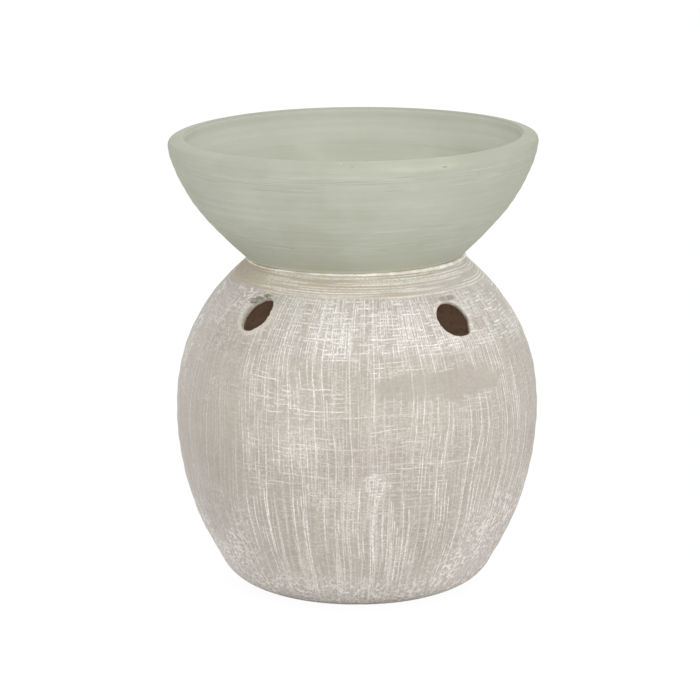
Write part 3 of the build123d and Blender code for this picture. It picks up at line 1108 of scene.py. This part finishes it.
print("whitewash has", len(position.id_data.nodes), "nodes")

# %% The strokes of one place
thick = times(thick_band, cloud(position, 70, 3.3, 0.28, 0.48), ramp(side, -0.68, -0.05, 0.45, 1.0))
thick = over(thick, dab, times(over(low_streaks, clusters), 0.6))
bright = over(
    times(upright_lines(at, 1.7, 26, 41.0, 0.2, 0.43), over(low_streaks, dab)),
    times(level_lines(at, 1.1, 9, 47.0, 0.3, 0.38), dab),
)
at_neck = {**at, "girth": 35}
rounds = over(
    level_lines(at_neck, 0.62, 22, 33.0, 0.33, 0.41, 0.1, 1),
    times(strokes(position, 0.9, 1500, 31.0, 0.48, 0.14, 0.1), 0.6),
)
print("whitewash has", len(position.id_data.nodes), "nodes")

# %% The wash laid over the ground coat
dry = ramp(noisy(position, 1500.0, roughness=0.6), 0.38, 0.56, 0.45, 1.0)
flakes = noisy(position, 800.0, roughness=0.6)
upper_left = times(ramp(height, 50, 64), ramp(side, -0.86, -0.5, 0.85, 0.0))
upper_left = without(times(upper_left, cloud(position, 110, 17.3, 0.36, 0.6)), 1, on_neck)
speckled = over(times(low_edges, 0.95), right_foot, upper_left)
grouped = calculate("MULTIPLY_ADD", cloud(position, 130, 23.1, 0.32, 0.56), 0.5, 0.5)
specks = times(ramp(flakes, 0.49, 0.55), speckled, grouped)
wash_haze_and_side_sheen = over(
    times(thick_band, 0.08),
    times(cloud(position, 60, 9.3, 0.4, 0.7), 0.12),
    times(dab, 0.1),
    times(low_edges, 0.06),
    # Painted sheen: the far sides a shade whiter.
    times(aside, 0.06),
    times(right_foot, 0.25),
)
body_wash = without(over(uprights, levels, faint), 0.85, bare)
body_wash = over(body_wash, times(hatch, thick), bright, specks)
body_wash = without(body_wash, 0.6, shy_side)
body_wash = over(body_wash, times(long_lines, ramp(height, 44, 62, 0.68, 0.45)), wash_haze_and_side_sheen)
neck_wash = times(without(rounds, 0.8, smooth_tan), on_neck)
wash = times(over(without(body_wash, 1, on_neck), neck_wash), dry)
print("whitewash has", len(position.id_data.nodes), "nodes")

# %% [markdown]
# The ground coat is taupe, a little warmer or greener in clouds, greyer towards the foot, darker low down,
# and tan on the neck. It carries painted shade at the left of the thick band and painted light at the far
# left edge. The wash goes over it, then the marks that lie on top of it. Where the brush did not reach, the
# clay is bare.

# %% The pot's colours and its relief
belt = times(ramp(height, 12, 22), ramp(height, 40, 56, 0.12, 0.0))
# Painted shade: the ground darker at the left of the thick band.
band_left_painted_shade = times(thick_band, ramp(side, -0.7, -0.1, 0.4, 0.0))
tan = blend(ramp(side, 0.1, 0.78), (198, 188, 172), (204, 199, 190))
ground = paint_over(
    (185, 178, 167),
    (ramp(clouds, 0.4, 0.65), (183, 173, 165)),
    (times(cloud(position, 22, 7.7, 0.5, 0.7), 0.7), (180, 176, 165)),
    (times(low_edges, 0.6), (189, 183, 178)),
    # A darker belt low on the belly, and the painted shade at the left of the thick band.
    (over(belt, band_left_painted_shade), (150, 142, 130)),
    # Painted light: the far left edge paler.
    (ramp(side, -0.97, -0.8, 0.22, 0.0), (226, 222, 220)),
    (on_neck, tan),
    (times(green_smear, 0.6), (176, 178, 156)),
    (ramp(grain, 0.35, 0.65, 0.16, 0.0), (120, 110, 98)),
)
painted = paint_over(
    ground,
    (wash, blend(thick_band, (244, 241, 235), (246, 245, 241))),
    (times(ramp(written(position, "vent_edge"), 0.3, 0.95), 0.3), (236, 230, 216)),
    (times(chips, ramp(flakes, 0.34, 0.5), 0.85), (112, 112, 96)),
    (times(scuff, 0.45), (178, 163, 150)),
)
bare_clay = paint_over(
    (208, 184, 165),
    (clouds, (224, 202, 184)),
    (times(strokes(position, 0.9, 620, 21.0, 0.46, 0.14, 0.2), 0.3), (238, 222, 206)),
    (ramp(flakes, 0.56, 0.66, 0.0, 0.4), (168, 138, 118)),
)
reached = ramp(shaken(written(position, "washed"), wander, 0.5), 0.4, 0.6)
color = blend(reached, bare_clay, painted)
relief = calculate("MULTIPLY_ADD", wash, 0.6, times(grain, 0.5))
finish_material(color, ramp(grain, 0.3, 0.7, 0.86, 0.97), relief, 0.12 * mm, 0.8, **dull)

# %% [markdown]
# ## Sage paint
#
# Chalk paint on clay: flat, dry, a little cloudy. The brush went round the dish as it turned, so faint lines
# run round it. They are plain to see in two zones, under the rim and above the foot, and hardly show between.
# Painted light makes the inside of the bowl paler towards the rim and the sides. Painted shade makes the lip
# a shade deeper all round, deepest at the front left, and a painted highlight makes it paler at the front
# right. Painted shade also deepens the right flank and the foot, but for a rubbed pale line at the foot's
# very edge.

# %% The dish's lines
sage_paint, position = new_material("sage_chalk_paint")
clouds, grain, pits = fired_clay(position, 40.0, 1000.0)
at = measure(position, 50)
height, side = at["height"], at["side"]
in_bowl = written(position, "in_bowl")
patchy = noisy(position, 45.0)
high_zone = times(ramp(height, 26, 28), ramp(height, 31.5, 33, 1.0, 0.0))
low_zone = times(ramp(height, 5, 8), ramp(height, 14, 18, 1.0, 0.0))
zones = without(over(high_zone, low_zone), 0.8, in_bowl)
zones = without(zones, 0.75, mark(position, (-50, -18, 24), (16, 22, 18), 0.4))
zones = over(times(zones, ramp(patchy, 0.36, 0.52)), 0.12)
dark_lines = times(level_lines(at, 0.8, 18, 2.0, 0.3, 0.47, 0.12, 2), zones)
light_lines = times(level_lines(at, 0.9, 15, 8.0, 0.3, 0.47, 0.12, 2), zones)
broad = strokes(position, 1.2, 900.0, 9.0, 0.4, 0.3, 0.4)
print("sage paint has", len(position.id_data.nodes), "nodes")

# %% The dish's colours and its relief
def outside_bowl(mask, share):
    """A share of a mask, outside the bowl only."""
    return times(without(mask, 1, in_bowl), share)


tone = shaken(clouds, broad, 0.12)
# Painted light in the bowl: paler towards the rim and towards the sides.
aside = ramp(calculate("ABSOLUTE", side), 0.55, 0.85, 0.0, 0.2)
bowl_painted_light = calculate("ADD", ramp(height, 22, 32, 0.0, 0.44), times(aside, ramp(height, 25, 32)))
# A painted highlight on the lip at the front right.
lip_painted_highlight = mark(position, (18, -49, 35.5), (17, 9, 2.6), 0.5)
# Painted shade on the lip at the front left.
shaded_lip = mark(position, (-31, -43, 33.6), (12, 11, 3.6), 0.5)
# Painted shade on the right flank.
right_flank_painted_shade = times(ramp(side, 0.45, 0.8), ramp(height, 8, 16, 0.0, 0.24))
foot_line = without(ramp(height, 0.2, 1.5, 1.0, 0.0), 0.5, ramp(patchy, 0.45, 0.6))
pale_fleck = mark(position, (-3.5, -52.1, 36.1), (0.35, 0.5, 0.5), 0.3)
ticks = over(
    mark(position, (-17.7, -37.3, 8.8), (0.6, 1.5, 0.22), 0.5),
    mark(position, (26.1, -48.4, 33.9), (0.8, 1.5, 0.2), 0.5),
    times(pits, 0.35),
)
color = paint_over(
    (177, 179, 164),
    (ramp(tone, 0.3, 0.5), (183, 186, 172)),
    (ramp(tone, 0.5, 0.75), (189, 192, 178)),
    # Painted light inside the bowl.
    (times(in_bowl, bowl_painted_light), (206, 208, 197)),
    # The painted highlight on the lip.
    (outside_bowl(lip_painted_highlight, 0.26), (214, 216, 200)),
    # Painted shade at the front left of the lip.
    (outside_bowl(shaded_lip, 0.3), (165, 168, 153)),
    # Painted shade on the right flank.
    (without(right_flank_painted_shade, 1, in_bowl), (165, 168, 153)),
    # Painted shade: the dish darker towards its foot.
    (ramp(height, 4, 17, 0.25, 0.0), (160, 163, 146)),
    # Painted shade along the lip all round.
    (outside_bowl(ramp(height, 33.8, 34.8), 0.4), (170, 173, 156)),
    (times(dark_lines, 0.3), (150, 153, 138)),
    (times(light_lines, 0.25), (214, 216, 202)),
    (times(foot_line, 0.6), (214, 212, 190)),
    (times(ticks, 0.6), (140, 142, 122)),
    (times(pale_fleck, 0.5), (218, 219, 204)),
)
raised = calculate("MULTIPLY_ADD", over(light_lines, times(broad, 0.4)), 0.5, times(grain, 0.5))
relief = calculate("SUBTRACT", raised, times(over(ticks, dark_lines), 0.8))
finish_material(color, ramp(grain, 0.3, 0.7, 0.84, 0.95), relief, 0.1 * mm, 0.7, **dull)

# %% [markdown]
# ## Slip, wax, aluminium, tin and cotton
#
# The small finishes. Slip is dry and crumbly. Wax lets a little light in and is greasy rather than glossy.
# Pressed aluminium shows fine drawing lines up its wall, and tin is darker and lightly scratched. Cotton is
# fuzzy with wax in it.

# %% The slip and the wax
dry_slip, position = new_material("dry_white_slip")
clouds, grain, _ = fired_clay(position, 160.0, 1400.0)
color = blend(ramp(clouds, 0.4, 0.6), (224, 219, 206), (249, 248, 243))
finish_material(color, ramp(grain, 0.3, 0.7, 0.85, 0.97), grain, 0.15 * mm)

poured, position = new_material("poured_wax")
clouds, grain, _ = fired_clay(position, 90.0, 1300.0)
color = blend(ramp(clouds, 0.35, 0.65), (236, 233, 222), (245, 243, 236))
waxy = {"Subsurface Weight": 0.25, "Subsurface Radius": (0.002, 0.0018, 0.0012), "IOR": 1.44}
finish_material(color, ramp(grain, 0.3, 0.7, 0.34, 0.5), grain, 0.05 * mm, 0.5, **waxy)

# %% The metals and the wick
pressed, position = new_material("pressed_aluminium")
drawn_lines = strokes(position, 190.0, 60.0, 1.0, 0.4, 0.3, 0.2)
clouds, _, _ = fired_clay(position, 150.0, 2500.0)
color = blend(clouds, (0.78, 0.78, 0.79, 1), (0.88, 0.88, 0.89, 1))
finish_material(color, ramp(drawn_lines, 0, 1, 0.24, 0.38), drawn_lines, 0.03 * mm, 0.6, Metallic=1.0)

tinned, position = new_material("tinned_steel")
scratches = strokes(position, 30.0, 900.0, 6.0, 0.5, 0.1, 2.0)
color = blend(scratches, (0.66, 0.66, 0.67, 1), (0.74, 0.74, 0.75, 1))
finish_material(color, ramp(scratches, 0, 1, 0.25, 0.42), scratches, 0.02 * mm, 0.5, Metallic=1.0)

plaited, position = new_material("waxed_cotton")
fibres = {"Vector": position, "Scale": 700.0, "Distortion": 2.0, "Detail": 2.0}
twist = step("ShaderNodeTexWave", fibres, "Fac", wave_type="BANDS", bands_direction="DIAGONAL")
color = blend(twist, (214, 206, 186), (240, 236, 224))
finish_material(color, ramp(twist, 0, 1, 0.6, 0.8), twist, 0.08 * mm)

# %% [markdown]
# ## Putting it together
#
# Each piece gets its material, stands for its CAD node, and rides on its body. The sustainer's solid is
# already right, so it stays and only gets its tin.

# %% Dress the frame
for piece, material, nodes, body_name, slot_name in (
    (pot, whitewashed, ("pot", "pot_base"), "burner", "whitewashed_terracotta"),
    (dish, sage_paint, ("dish",), "burner", "sage_painted_terracotta"),
    (slip, dry_slip, ("luting_slip",), "burner", "white_slip"),
    (cup, pressed, ("tealight_cup",), "tealight", "pressed_aluminium"),
    (wax, poured, ("tealight_wax",), "tealight", "paraffin_wax"),
    (wick, plaited, ("wick",), "tealight", "cotton_wick"),
):
    piece.data.materials.clear()
    piece.data.materials.append(material)
    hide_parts(*nodes)
    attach(piece, body_name)
    print(piece.name, "rides on", body_name, "with", len(piece.data.polygons), "faces")
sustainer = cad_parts["wick_sustainer"]
sustainer.data.materials.clear()
sustainer.data.materials.append(tinned)
